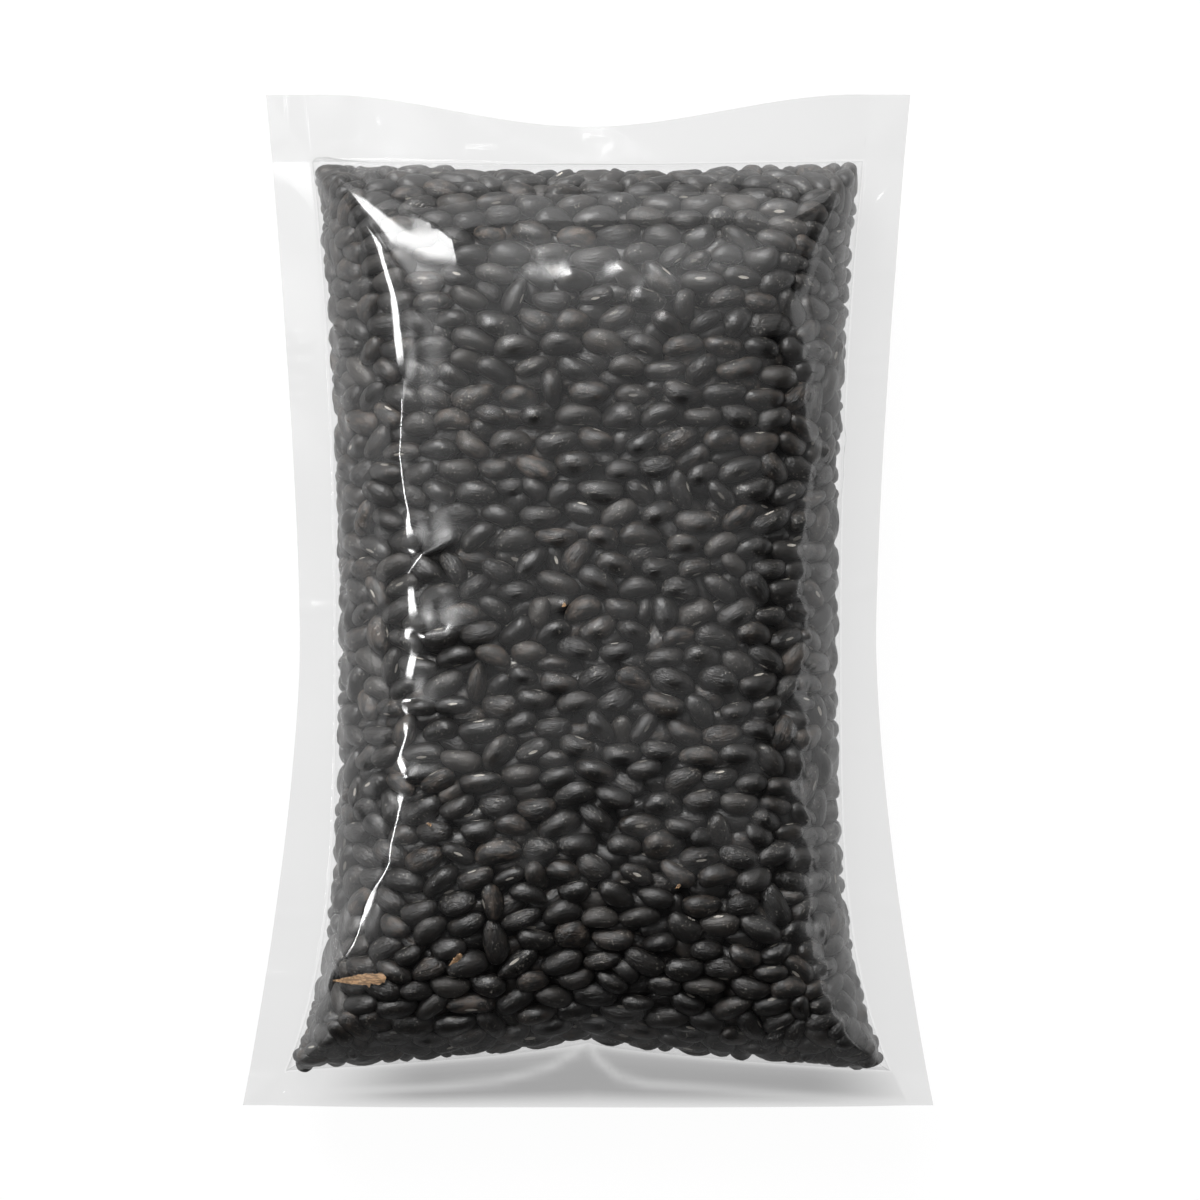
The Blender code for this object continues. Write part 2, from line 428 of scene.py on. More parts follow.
class Heap:
    """Beans pushed apart and back inside the film until they rest against each other. Each is a
    row of three balls while it settles."""

    def __init__(self, sizes):
        chance = np.random.default_rng(sizes.seed)
        self.centres, inward = sites(sizes, chance)
        count = len(self.centres)
        scales = np.clip(chance.normal(1.0, sizes.spread, (count, 3)), *LIMITS_BY_AXIS)
        scales *= np.clip(chance.normal(1.0, sizes.spread, (count, 1)), *LIMITS_BY_BEAN)
        self.half_sizes = np.array([sizes.length, sizes.width, sizes.thickness]) / 2 * scales
        self.directions = bean_directions(inward, chance)
        self.settle()
        self.turn_to_film(chance)
        self.rest_under_film(chance)
        self.nature = chance.random((count, 4))
        self.lumps = chance.random((count, 5))

    def balls(self):
        reach = self.half_sizes[:, 0] * END_BALL_PLACE
        steps = self.directions[:, None, :] * (reach[:, None] * np.array([-1, 0, 1]))[:, :, None]
        return self.centres[:, None, :] + steps

    def settle(self):
        count = len(self.centres)
        waist = self.half_sizes[:, 1:].mean(1)
        end = self.half_sizes[:, 0] * END_BALL_RADIUS
        radii = np.stack([end, waist, end], axis=1)
        reach = 2 * self.half_sizes[:, 0].max()
        for turn in range(SETTLING_ROUNDS):
            if turn % PAIR_ROUNDS == 0:
                one, two = near_pairs(self.centres, reach)
            balls = self.balls()
            away = balls[one][:, :, None, :] - balls[two][:, None, :, :]
            gap = np.linalg.norm(away, axis=-1)
            overlap = radii[one][:, :, None] + radii[two][:, None, :] - gap
            pair, a, b = np.nonzero(overlap > 0)
            push = away[pair, a, b] / np.maximum(gap[pair, a, b], 1e-9)[:, None]
            push *= overlap[pair, a, b][:, None] / 2
            first, second = one[pair] * 3 + a, two[pair] * 3 + b
            moved = sum_by(first, push, 3 * count) - sum_by(second, push, 3 * count)
            touches = np.bincount(first, minlength=3 * count)
            touches = touches + np.bincount(second, minlength=3 * count)
            moved *= (PUSH_STRENGTH / np.maximum(touches, 1))[:, None]
            balls = balls + moved.reshape(balls.shape)
            depth, inward = room().look(balls)
            shallow = np.clip(radii - depth, 0, None)
            deep = np.clip(depth - HEAP_DEPTH, 0, None) / 2 + OUTWARD_DRIFT
            balls += inward * (shallow - deep)[:, :, None]
            self.centres = balls.mean(1)
            self.directions = unit(balls[:, 2] - balls[:, 0])

    def turn_to_film(self, chance):
        """Rolls each bean onto its flat side against the film, a few onto their edge."""
        count = len(self.centres)
        depth, inward = room().look(self.centres)
        flat = unit(inward - self.directions * (inward * self.directions).sum(1, keepdims=True))
        side = np.cross(self.directions, flat)
        roll = chance.normal(0, USUAL_ROLL, count)
        roll += np.where(chance.random(count) < ON_EDGE_SHARE, math.pi / 2, 0.0)
        roll += np.where(chance.random(count) < 0.5, math.pi, 0.0)
        cos, sin = np.cos(roll)[:, None], np.sin(roll)[:, None]
        self.widths = side * cos + flat * sin
        self.flats = flat * cos - side * sin

    def rest_under_film(self, chance):
        """Moves the outer beans in or out until their tops lie just under the smooth film."""
        depth, inward = room().look(self.centres)
        axes = np.stack([self.directions, self.widths, self.flats], axis=1)
        reach = np.linalg.norm((axes * inward[:, None, :]).sum(2) * self.half_sizes, axis=1)
        under = depth - reach
        wanted = chance.uniform(LEAST_UNDER_FILM, MOST_UNDER_FILM, len(under))
        wanted += UNDER_FOLDS * lift_of(self.centres, FOLDS)[1] * (self.centres[:, 2] > SEAM_HEIGHT)
        lift = np.where(under < OUTER_BEANS_UNDER, np.clip(under - wanted, None, MOST_LIFT), 0)
        self.centres -= inward * lift[:, None]


@lru_cache(maxsize=1)
def packed_heap():
    return Heap(bpy.context.scene.bean_sizes)


# One bean

BEAN_RINGS = 10
BEAN_SIDES = 14
BLUNTNESS = 2.35
BLUNTNESS_SPREAD = 0.5
BELLY_FLATTENING = 0.13
BEND = 0.16
LEAST_BEND_SHARE = 0.4
LUMPS = 0.060
LUMP_TURN = 2.2
FINER_LUMPS = 0.7
TAPER = 0.12


def bean_template():
    """Places on a unit bean, as its length, width and thickness shares, and the faces."""
    turns = np.linspace(0, math.pi, BEAN_RINGS + 1)[1:-1]
    sides = np.arange(BEAN_SIDES) * math.tau / BEAN_SIDES
    length = np.repeat(-np.cos(turns), BEAN_SIDES)
    around = np.tile(sides, BEAN_RINGS - 1)
    length = np.concatenate([[-1], length, [1]])
    around = np.concatenate([[0], around, [0]])
    rings = 1 + np.arange((BEAN_RINGS - 1) * BEAN_SIDES).reshape(BEAN_RINGS - 1, BEAN_SIDES)
    following = np.roll(rings, -1, axis=1)
    faces = [np.stack([np.zeros(BEAN_SIDES, int), following[0], rings[0]], axis=1)]
    for low, high, low_next, high_next in zip(rings, rings[1:], following, following[1:]):
        faces.append(np.stack([low, low_next, high_next], axis=1))
        faces.append(np.stack([low, high_next, high], axis=1))
    last = np.full(BEAN_SIDES, len(length) - 1)
    faces.append(np.stack([rings[-1], following[-1], last], axis=1))
    return length, around, np.concatenate(faces)


def bean_points(heap, chosen, length, around):
    """The points of the chosen beans: blunt ends, a belly flattened at the seed scar, and the
    ends bent towards it."""
    blunt = BLUNTNESS + BLUNTNESS_SPREAD * (heap.nature[chosen, 3:4] - 0.5)
    girth = np.sqrt(np.clip(1 - np.abs(length) ** blunt, 0, None))
    turns = heap.lumps[chosen, :, None] * math.tau
    coarse, fine = LUMP_TURN * length + turns[:, 0], 2 * LUMP_TURN * length + turns[:, 2]
    uneven = np.sin(coarse) * np.cos(2 * around + turns[:, 1])
    uneven = uneven + FINER_LUMPS * np.sin(fine) * np.cos(3 * around + turns[:, 3])
    girth = girth * (1 + LUMPS * uneven + TAPER * np.sin(turns[:, 4]) * length)
    belly = np.clip(np.cos(around), 0, None)
    bend = BEND * (LEAST_BEND_SHARE + heap.nature[chosen, 2:3])
    width = girth * np.cos(around) * (1 - BELLY_FLATTENING * belly * (1 - length ** 2))
    width = width + bend * (length ** 2 - 1 / 3)
    thick = girth * np.sin(around)
    length = np.broadcast_to(length, width.shape)
    place = np.stack([length, width, thick], axis=-1)
    axes = np.stack([heap.directions, heap.widths, heap.flats], axis=1)[chosen]
    local = place * heap.half_sizes[chosen][:, None, :]
    return heap.centres[chosen][:, None, :] + local @ axes, place


def bean_mesh(name, heap, chosen):
    length, around, faces = bean_template()
    points, place = bean_points(heap, chosen, length, around)
    offsets = np.arange(len(points))[:, None, None] * len(length)
    mesh = new_mesh(name, points.reshape(-1, 3), (faces + offsets).reshape(-1, 3))
    keep_values(mesh, "bean_place", place.reshape(-1, 3))
    nature = np.repeat(heap.nature[chosen, :3], len(length), axis=0)
    keep_values(mesh, "bean_nature", nature)
    return mesh


# Shader helpers


def feed(tree, socket, value):
    """Sets the value of a node's input, or links it to another socket."""
    if isinstance(value, bpy.types.NodeSocket):
        tree.links.new(value, socket)
    else:
        socket.default_value = value


def feed_all(tree, made, **values):
    for name, value in values.items():
        feed(tree, made.inputs[name.replace("_", " ")], value)


def add_node(tree, kind, **settings):
    """A new node. A setting is one of its own, or the name or number of an input to feed."""
    made = tree.nodes.new(kind)
    for name, value in settings.items():
        if hasattr(made, name):
            setattr(made, name, value)
        elif name[1:].isdigit():
            feed(tree, made.inputs[int(name[1:])], value)
        else:
            feed_all(tree, made, **{name: value})
    return made


def blend_colours(tree, share, one, two):
    """The colour between two, by a share that may be a socket."""
    made = add_node(tree, "ShaderNodeMix", data_type="RGBA", i0=share, i6=one, i7=two)
    return made.outputs[2]


def sum_of(tree, operation, *values, clamp=False):
    """One step of arithmetic on numbers or sockets."""
    made = tree.nodes.new("ShaderNodeMath")
    made.operation = operation
    made.use_clamp = clamp
    for socket, value in zip(made.inputs, values):
        feed(tree, socket, value)
    return made.outputs[0]


def ramp_of(tree, value, low, high, start=0.0, end=1.0):
    """A value taken smoothly from start at low to end at high."""
    made = add_node(tree, "ShaderNodeMapRange", interpolation_type="SMOOTHSTEP", Value=value,
                    From_Min=low, From_Max=high, To_Min=start, To_Max=end)
    return made.outputs["Result"]


def object_place(tree):
    return tree.nodes.new("ShaderNodeTexCoord").outputs["Object"]


def kept_value(tree, name, output="Fac"):
    return add_node(tree, "ShaderNodeAttribute", attribute_name=name).outputs[output]


def parts_of(tree, vector):
    return add_node(tree, "ShaderNodeSeparateXYZ", Vector=vector).outputs


def vector_step(tree, operation, *values, **more):
    """One step of arithmetic on vectors."""
    values = {f"i{index}": value for index, value in enumerate(values)}
    return add_node(tree, "ShaderNodeVectorMath", operation=operation, **values,
                    **more).outputs[0]


def noise(tree, place, scale, detail, **more):
    """Soft random spots, as a value from 0 to 1."""
    return add_node(tree, "ShaderNodeTexNoise", Vector=place, Scale=scale, Detail=detail,
                    **more).outputs["Fac"]


def bumped(tree, height, distance, strength):
    """The normal over a height."""
    return add_node(tree, "ShaderNodeBump", Strength=strength, Distance=distance,
                    Height=height).outputs["Normal"]


def blend_shaders(tree, share, one, two):
    return add_node(tree, "ShaderNodeMixShader", Fac=share, i1=one.outputs[0],
                    i2=two.outputs[0])


def new_group(name, inputs, outputs):
    """A new shader node group with named sockets: its tree, and the sockets to read and feed."""
    tree = bpy.data.node_groups.new(name, "ShaderNodeTree")
    for direction, sockets in (("INPUT", inputs), ("OUTPUT", outputs)):
        for label, kind in sockets:
            tree.interface.new_socket(name=label, in_out=direction, socket_type=kind)
    return tree, tree.nodes.new("NodeGroupInput").outputs, tree.nodes.new("NodeGroupOutput").inputs


def group_node(tree, group, **values):
    made = tree.nodes.new("ShaderNodeGroup")
    made.node_tree = group
    feed_all(tree, made, **values)
    return made.outputs


NUMBER = "NodeSocketFloat"
COLOUR = "NodeSocketColor"


@lru_cache(maxsize=1)
def dust_group():
    """Fine pale dust: scattered grains and soft patches."""
    tree, given, out = new_group("bean_dust", [("Amount", NUMBER), ("Grain", NUMBER)],
                                 [("Mask", NUMBER)])
    place = object_place(tree)
    grains = ramp_of(tree, noise(tree, place, given["Grain"], 3.0), 0.56, 0.74)
    patches = ramp_of(tree, noise(tree, place, 210.0, 2.0), 0.42, 0.68)
    both = sum_of(tree, "MULTIPLY", grains, patches)
    feed(tree, out["Mask"], sum_of(tree, "MULTIPLY", both, given["Amount"], clamp=True))
    return tree


@lru_cache(maxsize=1)
def coat_group():
    """A dried bean's skin: its own tone, worn brown patches, fine wrinkles and the seed scar."""
    tree, given, out = new_group(
        "bean_coat",
        [("Coat", COLOUR), ("Worn", COLOUR), ("Scar", COLOUR), ("Wear", NUMBER),
         ("Wrinkle", NUMBER), ("Gloss", NUMBER)],
        [("Colour", COLOUR), ("Roughness", NUMBER), ("Height", NUMBER)])
    place = kept_value(tree, "bean_place", "Vector")
    nature = kept_value(tree, "bean_nature", "Vector")
    natures = parts_of(tree, nature)
    shifted = vector_step(tree, "MULTIPLY_ADD", nature, (37.0, 53.0, 71.0), place)
    drawn = vector_step(tree, "MULTIPLY", shifted, (0.8, 2.0, 2.0))
    mottle = noise(tree, shifted, 1.6, 4.0, Roughness=0.6)
    creased = noise(tree, drawn, 2.6, 3.0, Distortion=0.9)
    skin = noise(tree, drawn, 11.0, 3.0)
    lift = ramp_of(tree, natures["X"], 0.0, 1.0, 0.65, 1.75)
    lifted = vector_step(tree, "SCALE", given["Coat"], Scale=lift)
    brown = ramp_of(tree, natures["Y"], 0.55, 1.0)
    worn = sum_of(tree, "MULTIPLY", ramp_of(tree, mottle, 0.42, 0.66), given["Wear"])
    worn = sum_of(tree, "MULTIPLY", worn, sum_of(tree, "ADD", brown, 0.12), clamp=True)
    colour = blend_colours(tree, worn, lifted, given["Worn"])
    spots = group_node(tree, dust_group(), Amount=0.5, Grain=1500.0)["Mask"]
    colour = blend_colours(tree, spots, colour, given["Scar"])

    split = parts_of(tree, place)
    belly = ramp_of(tree, split["Y"], 0.50, 0.60)
    long_way = sum_of(tree, "POWER", sum_of(tree, "DIVIDE", split["X"], 0.27), 2.0)
    short_way = sum_of(tree, "POWER", sum_of(tree, "DIVIDE", split["Z"], 0.15), 2.0)
    ragged = sum_of(tree, "MULTIPLY_ADD", skin, 0.9, sum_of(tree, "ADD", long_way, short_way))
    oval = ramp_of(tree, ragged, 1.5, 1.1)
    pale = ramp_of(tree, natures["Z"], 0.20, 0.60, 0.25, 1.0)
    scar = sum_of(tree, "MULTIPLY", sum_of(tree, "MULTIPLY", belly, oval), pale)
    feed(tree, out["Colour"], blend_colours(tree, scar, colour, given["Scar"]))

    rough = sum_of(tree, "MULTIPLY_ADD", skin, 0.30, given["Gloss"])
    feed(tree, out["Roughness"], sum_of(tree, "MULTIPLY_ADD", worn, 0.2, rough, clamp=True))
    folds = sum_of(tree, "MULTIPLY", creased, given["Wrinkle"])
    height = sum_of(tree, "MULTIPLY_ADD", skin, 0.15, folds)
    feed(tree, out["Height"], sum_of(tree, "MULTIPLY_ADD", scar, 0.35, height))
    return tree


def darker(colour, share):
    return [channel * share for channel in colour[:3]] + [1]


def new_material(name):
    """A material with an empty Principled shader, and the two to build on."""
    material = bpy.data.materials.new(name)
    material.use_nodes = True
    tree = material.node_tree
    return material, tree, tree.nodes["Principled BSDF"]


def bean_material(name, coat, worn, scar, wear, wrinkle, gloss):
    material, tree, shader = new_material(name)
    skin = group_node(tree, coat_group(), Coat=coat, Worn=worn, Scar=scar, Wear=wear,
                      Wrinkle=wrinkle, Gloss=gloss)
    feed_all(tree, shader, Base_Color=skin["Colour"], Roughness=skin["Roughness"],
             Specular_IOR_Level=0.75, Normal=bumped(tree, skin["Height"], 0.00035, 0.9))
    return material


def core_material(colour, worn):
    material, tree, shader = new_material("core_beans")
    cells = add_node(tree, "ShaderNodeTexVoronoi", Vector=object_place(tree), Scale=150.0)
    spots = group_node(tree, dust_group(), Amount=0.4, Grain=900.0)["Mask"]
    feed_all(tree, shader, Base_Color=blend_colours(tree, spots, colour, worn), Roughness=0.7,
             Normal=bumped(tree, cells.outputs["Distance"], 0.0015, 1.0))
    return material


@lru_cache(maxsize=1)
def film_material():
    """Clear film: it lets light through, and both of its faces reflect, partly in a soft haze. At
    the foot its tint carries a painted shadow.
    """
    colours = bpy.context.scene.bag_colours
    material, tree, gloss = new_material("clear_film")
    place = object_place(tree)
    waves = noise(tree, place, 95.0, 2.0)
    height = sum_of(tree, "MULTIPLY_ADD", noise(tree, place, 420.0, 1.0), 0.12, waves)
    normal = bumped(tree, height, 0.0005, 0.16)
    hazy = tree.nodes.new("ShaderNodeBsdfPrincipled")
    streaks = ramp_of(tree, noise(tree, place, 60.0, 3.0), 0.3, 0.7, 0.02, 0.06)
    for lobe, roughness in ((gloss, streaks), (hazy, 0.33)):
        feed_all(tree, lobe, Base_Color=(1, 1, 1, 1), Metallic=1.0, Roughness=roughness,
                 Normal=normal)
    sheen = blend_shaders(tree, 0.30, gloss, hazy)
    facing = add_node(tree, "ShaderNodeLayerWeight", Blend=0.5).outputs["Facing"]
    grazing = sum_of(tree, "POWER", facing, 5.0)
    weld = kept_value(tree, "weld")
    welded = ramp_of(tree, weld, 0.0, 0.12)
    reflected = sum_of(tree, "MULTIPLY_ADD", grazing, 0.85, 0.078)
    reflected = sum_of(tree, "MULTIPLY", reflected, ramp_of(tree, weld, 0.0, 0.12, 1.0, 0.14))
    tint = blend_colours(tree, welded, colours.film, colours.margin)
    # Painted shadow: the film's tint darkens at the foot's middle, standing for the shade on the
    # table under it.
    tint = blend_colours(tree, kept_value(tree, "painted_foot_shadow"), tint, colours.painted_shadow_tint)
    clear = add_node(tree, "ShaderNodeBsdfTransparent", Color=tint)
    milk = add_node(tree, "ShaderNodeBsdfDiffuse", Color=(0.9, 0.9, 0.9, 1))
    cloudy = sum_of(tree, "MULTIPLY_ADD", welded, 0.03, 0.0003)
    whole = blend_shaders(tree, reflected, blend_shaders(tree, cloudy, clear, milk), sheen)
    feed_all(tree, tree.nodes["Material Output"], Surface=whole.outputs[0])
    return material


# Dry bits of pod between the beans and the film

# Each bit: where it starts and ends on the front, as shares across and along, and its width.
HUSKS = (
    (-0.922, -0.792, -0.728, -0.788, 0.0026),
    (-0.505, -0.771, -0.462, -0.748, 0.0012),
    (-0.10, 0.000, -0.085, 0.006, 0.0008),
    (0.33, -0.61, 0.35, -0.60, 0.0007),
    (-0.62, -0.455, -0.60, -0.46, 0.0007),
)
HUSK_STEPS = 26
HUSK_ROWS = 6
HUSK_DEPTH = 0.00002
HUSK_THICKNESS = 0.00014
HUSK_TAIL_END = 0.05
HUSK_FULL_AFTER = 0.45
HUSK_TIP = 0.06
HUSK_TAIL_WIDTH = 0.16
HUSK_RAGGEDNESS = 0.25
HUSK_WAVE = 0.00005
HUSK_WAVE_TURN = 17


def husk_mesh(chance):
    """Thin ragged slivers that lie on the beans, each a closed skin with a tail at its start."""
    points, faces, count = [], [], 0
    step = np.linspace(0, 1, HUSK_STEPS)
    for across, along, across_end, along_end, width in HUSKS:
        middle = pouch_points(mix(across, across_end, step), mix(along, along_end, step), True, 0.0)
        ahead = unit(np.gradient(middle, axis=0))
        _, inward = room().look(middle)
        side = unit(np.cross(inward, ahead))
        body = np.clip((step - HUSK_TAIL_END) / HUSK_FULL_AFTER, 0, 1)
        body *= np.clip((1 - step) / HUSK_TIP, 0, 1) ** 0.5
        for face in (1, -1):
            rows = []
            for row in np.linspace(-1, 1, HUSK_ROWS):
                ragged = 1 + HUSK_RAGGEDNESS * chance.normal(0, 1, HUSK_STEPS) * abs(row) * step
                half = width / 2 * (HUSK_TAIL_WIDTH + (1 - HUSK_TAIL_WIDTH) * body) * ragged
                wave = np.sin(step * HUSK_WAVE_TURN + row * 2) * HUSK_WAVE
                depth = HUSK_DEPTH + wave - face * HUSK_THICKNESS / 2 * (1 - row * row)
                rows.append(middle + side * (half * row)[:, None] + inward * depth[:, None])
            points.append(np.array(rows).reshape(-1, 3))
            faces.append(grid_faces(HUSK_ROWS, HUSK_STEPS, flip=face < 0) + count)
            count += HUSK_ROWS * HUSK_STEPS
    return new_mesh("husks", np.concatenate(points), np.concatenate(faces))


def husk_material(colour):
    material, tree, shader = new_material("husk")
    drawn = vector_step(tree, "MULTIPLY", object_place(tree), (0.3, 2.0, 1.0))
    fibres = noise(tree, drawn, 900.0, 3.0)
    tone = blend_colours(tree, ramp_of(tree, fibres, 0.42, 0.62), darker(colour, 0.45), colour)
    spots = group_node(tree, dust_group(), Amount=0.6, Grain=1200.0)["Mask"]
    feed_all(tree, shader, Base_Color=blend_colours(tree, spots, tone, (0.62, 0.45, 0.28, 1)),
             Roughness=0.75, Normal=bumped(tree, fibres, 0.0002, 0.5))
    return material


# The film

SHEET_GAP = 0.0002
WELD_START = 0.95
SEAM_SHARE = 0.9999
FRONT_SPACING = 0.00095
BACK_SPACING = 0.0015
FINER_LEFT_OF = -0.35
FINER_LEFT_FADE = 0.2
FINER_BETWEEN = ((-0.45, 0.18), (0.70, 1.0))
FINER_ROWS_FADE = 0.05
FINER_BY = 0.75
FRONT_MARGIN_STEPS = 13
BACK_MARGIN_STEPS = 7
RAY_START = 0.002
DEEPEST = 0.0016
CLEARANCE = 0.00008
DRAPE_ROUNDS = 500
SHOULDER_PULL = 2.0
SHOULDER_RISE = 0.93
SHOULDER_FADE = 0.2
HEAD_TAUTNESS = 0.75
HEAD_TAUT_FROM = 0.62
HEAD_TAUT_FADE = 0.15
FOLD_REACH = 0.0065
FOLD_TAUTNESS = 0.9

# A painted shadow under the foot's margin, put into the film's tint where the beans' shade on the
# table would show through, as shares of the way along and across it.
SHADE_START = 0.98
SHADE_START_FADE = 0.05
SHADE_LEAST = 0.8
SHADE_GROWTH = 0.4
SHADE_END = 1.68
SHADE_END_FADE = 0.32
SHADE_MIDDLE = 0.1
SHADE_HALF_WIDTH = 0.6
SHADE_SIDE_FADE = 0.4
# The painted shadow is lighter along the two arcs from the notch.
ARC_LIGHTNESS = 0.5
ARC_THINNESS = 30

# Folds that stand up in the front film, in millimetres: their half width, then the points on
# their way and how high they stand there. The first run in from the corners.
FOLDS = (
    (1.0, ((-67.3, 109.0, 1.4), (-65.0, 106.9, 2.6), (-60.0, 102.3, 2.2), (-55.4, 95.8, 1.6),
          (-52.2, 91.1, 1.1), (-49.3, 86.6, 0.8), (-47.5, 83.4, 0.3))),
    (0.9, ((-66.8, 109.2, 1.2), (-64.4, 107.7, 2.6), (-59.4, 105.0, 2.5), (-54.7, 101.8, 1.9),
          (-46.0, 97.0, 1.5), (-37.6, 91.9, 1.1))),
    (1.5, ((-37.6, 91.9, 1.0), (-33.0, 87.9, 1.0), (-31.5, 80.0, 0.3))),
    (1.0, ((-47.7, 83.9, 0.0), (-48.8, 78.5, 0.0), (-48.1, 70.9, 0.0), (-47.8, 61.6, 0.0),
          (-45.5, 53.9, 0.0))),
    (0.9, ((-45.5, 53.9, 0.0), (-45.3, 49.0, 0.4), (-45.5, 44.2, 0.4), (-46.0, 35.6, 0.4),
          (-44.8, 26.5, 0.4), (-43.1, 19.6, 0.1))),
    (0.8, ((66.3, 106.3, 0.65), (60.2, 96.4, 1.2), (55.7, 89.3, 1.1), (51.0, 79.4, 1.0),
          (49.1, 73.9, 0.9), (45.7, 65.5, 0.4))),
    (0.8, ((64.6, 98.8, 0.5), (61.4, 89.5, 0.87), (56.8, 83.0, 0.73), (53.2, 76.0, 0.3))),
    (1.2, ((-62.6, -95.9, 2.0), (-60.9, -92.6, 3.0), (-58.6, -88.2, 2.7), (-56.0, -83.3, 2.1),
          (-54.3, -75.2, 1.5), (-53.0, -71.6, 1.3), (-51.1, -69.1, 1.1), (-48.2, -64.8, 0.9),
          (-48.4, -61.4, 0.8), (-46.5, -53.5, 0.5), (-44.9, -46.5, 0.3))),
    (2.0, ((-33.4, 14.5, 0.5), (-39.9, 11.2, 1.2), (-43.6, 6.6, 0.4))),
    (1.0, ((-45.3, 12.6, 0.3), (-42.5, 12.2, 0.6), (-39.9, 11.7, 0.3))),
    (3.0, ((-43.6, -8.4, 0.3), (-39.5, -9.0, 1.1), (-34.5, -8.2, 1.4), (-27.8, -5.4, 0.5))),
    (2.0, ((-48.3, -24.8, 0.6), (-42.3, -24.4, 1.1), (-35.6, -26.6, 0.5))),
    (1.4, ((-48.3, -24.3, 0.6), (-43.6, -28.3, 0.8), (-35.6, -25.9, 0.5))),
    (1.0, ((-44.3, -29.1, 0.3), (-44.0, -33.3, 0.6), (-46.8, -39.7, 0.6), (-44.0, -41.0, 0.3))),
    (2.0, ((-50.3, -43.8, 0.3), (-43.6, -43.4, 1.0), (-36.1, -42.8, 0.4))),
    (1.1, ((-55.4, -40.7, 0.25), (-60.1, -48.6, 0.5), (-58.3, -50.2, 0.25))),
    (1.3, ((66.0, 41.7, 0.4), (59.9, 36.9, 0.8), (62.6, 30.3, 0.4))),
    (1.0, ((-24.5, 107.0, 0.3), (-17.0, 105.2, 0.7), (-7.0, 107.0, 0.8), (3.0, 106.8, 0.7),
          (15.5, 105.4, 0.8), (28.0, 104.6, 0.6), (43.0, 105.2, 0.3))),
)


def ridge(half_width, height, *points):
    """A low ridge, half as high at its ends. Where it has only its ends, it gets a middle."""
    if len(points) == 2:
        middle = tuple(round(sum(pair) / 2, 1) for pair in zip(*points))
        points = (points[0], middle, points[1])
    heights = [height] * len(points)
    heights[0] = heights[-1] = round(height / 2, 2)
    return half_width, tuple((*point, rise) for point, rise in zip(points, heights))


# Ridges and puckers in the welded margin, in millimetres: half width, height and points.
PUCKERS = tuple(ridge(*line) for line in (
    (0.7, 0.3, (-75.0, 127.5), (-75.0, 117.5)),
    (0.8, 0.45, (-75.0, 117.5), (-81.8, 113.6)),
    (1.2, 0.4, (-76.3, 66.8), (-71.0, 66.3)),
    (1.5, 0.5, (-76.0, 63.0), (-69.5, 64.5)),
    (1.2, 0.45, (-76.0, 59.6), (-70.0, 59.3)),
    (1.0, 0.4, (-75.9, 54.3), (-71.5, 54.6)),
    (1.0, 0.4, (-75.8, 50.9), (-71.5, 50.8)),
    (2.0, 0.5, (-73.5, -2.5), (-65.0, -2.0)),
    (1.2, 0.45, (-80.5, -78.8), (-68.3, -79.4)),
    (1.4, 0.6, (-82.5, -94.3), (-74.0, -94.3)),
    (1.0, 0.35, (-86.0, -119.8), (-79.0, -120.3)),
    (0.8, 0.5, (61.5, 113.0), (66.8, 115.0), (72.0, 115.3), (72.0, 108.0)),
    (1.0, 0.7, (76.8, 105.5), (72.5, 99.0)),
    (0.7, 0.5, (70.2, 99.0), (69.3, 79.0)),
    (1.3, 0.8, (71.0, 82.0), (78.0, 83.0)),
    (1.4, 0.8, (68.0, 61.0), (75.0, 61.8)),
    (1.5, 0.8, (67.0, 56.8), (74.2, 56.3)),
    (1.2, 0.6, (69.5, 47.2), (74.0, 47.5)),
    (2.6, 0.9, (65.5, 1.5), (72.0, 4.5)),
    (1.5, 0.35, (64.8, -36.0), (69.0, -36.6)),
    (0.9, 0.5, (68.5, -74.0), (72.0, -93.0), (76.5, -114.5)),
    (1.8, 0.9, (70.5, -74.5), (77.5, -78.0)),
    (1.4, 0.3, (-64.8, 115.9), (-58.0, 115.6)),
    (2.0, 0.3, (-53.8, 120.0), (-51.3, 116.3)),
    (1.2, 0.3, (-30.0, 112.4), (-22.0, 112.2)),
    (0.9, 0.4, (0.0, 115.8), (4.3, 116.3), (7.3, 114.5), (5.5, 112.3)),
    (1.2, 0.45, (40.8, 112.3), (47.0, 116.5)),
    (1.4, 0.4, (67.0, -122.8), (75.0, -120.5)),
))

# The two arcs that run out from the notch over the beans' foot, in the same way.
FOOT_ARCS = tuple(ridge(*line) for line in (
    (1.0, 0.45, (-1.5, -111.5), (-4.0, -113.5), (-10.0, -117.0), (-22.0, -120.2),
     (-37.0, -121.8), (-76.0, -124.2)),
    (1.0, 0.45, (0.5, -111.8), (2.5, -115.0), (7.5, -119.2), (15.0, -121.2),
     (36.0, -122.8), (77.0, -126.0)),
))


def bean_surfaces():
    """The surfaces of all beans and bits, to drape the film over."""
    points, faces, count = [], [], 0
    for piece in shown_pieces():
        if not piece.name.startswith(("beans_", "husks")):
            continue
        mesh = piece.data
        co = np.empty(len(mesh.vertices) * 3, np.float32)
        mesh.vertices.foreach_get("co", co)
        corners = np.empty(len(mesh.loops), np.int32)
        mesh.loops.foreach_get("vertex_index", corners)
        points.append(co.reshape(-1, 3))
        faces += (corners.reshape(len(mesh.polygons), -1) + count).tolist()
        count += len(mesh.vertices)
    return BVHTree.FromPolygons(np.concatenate(points).tolist(), faces)


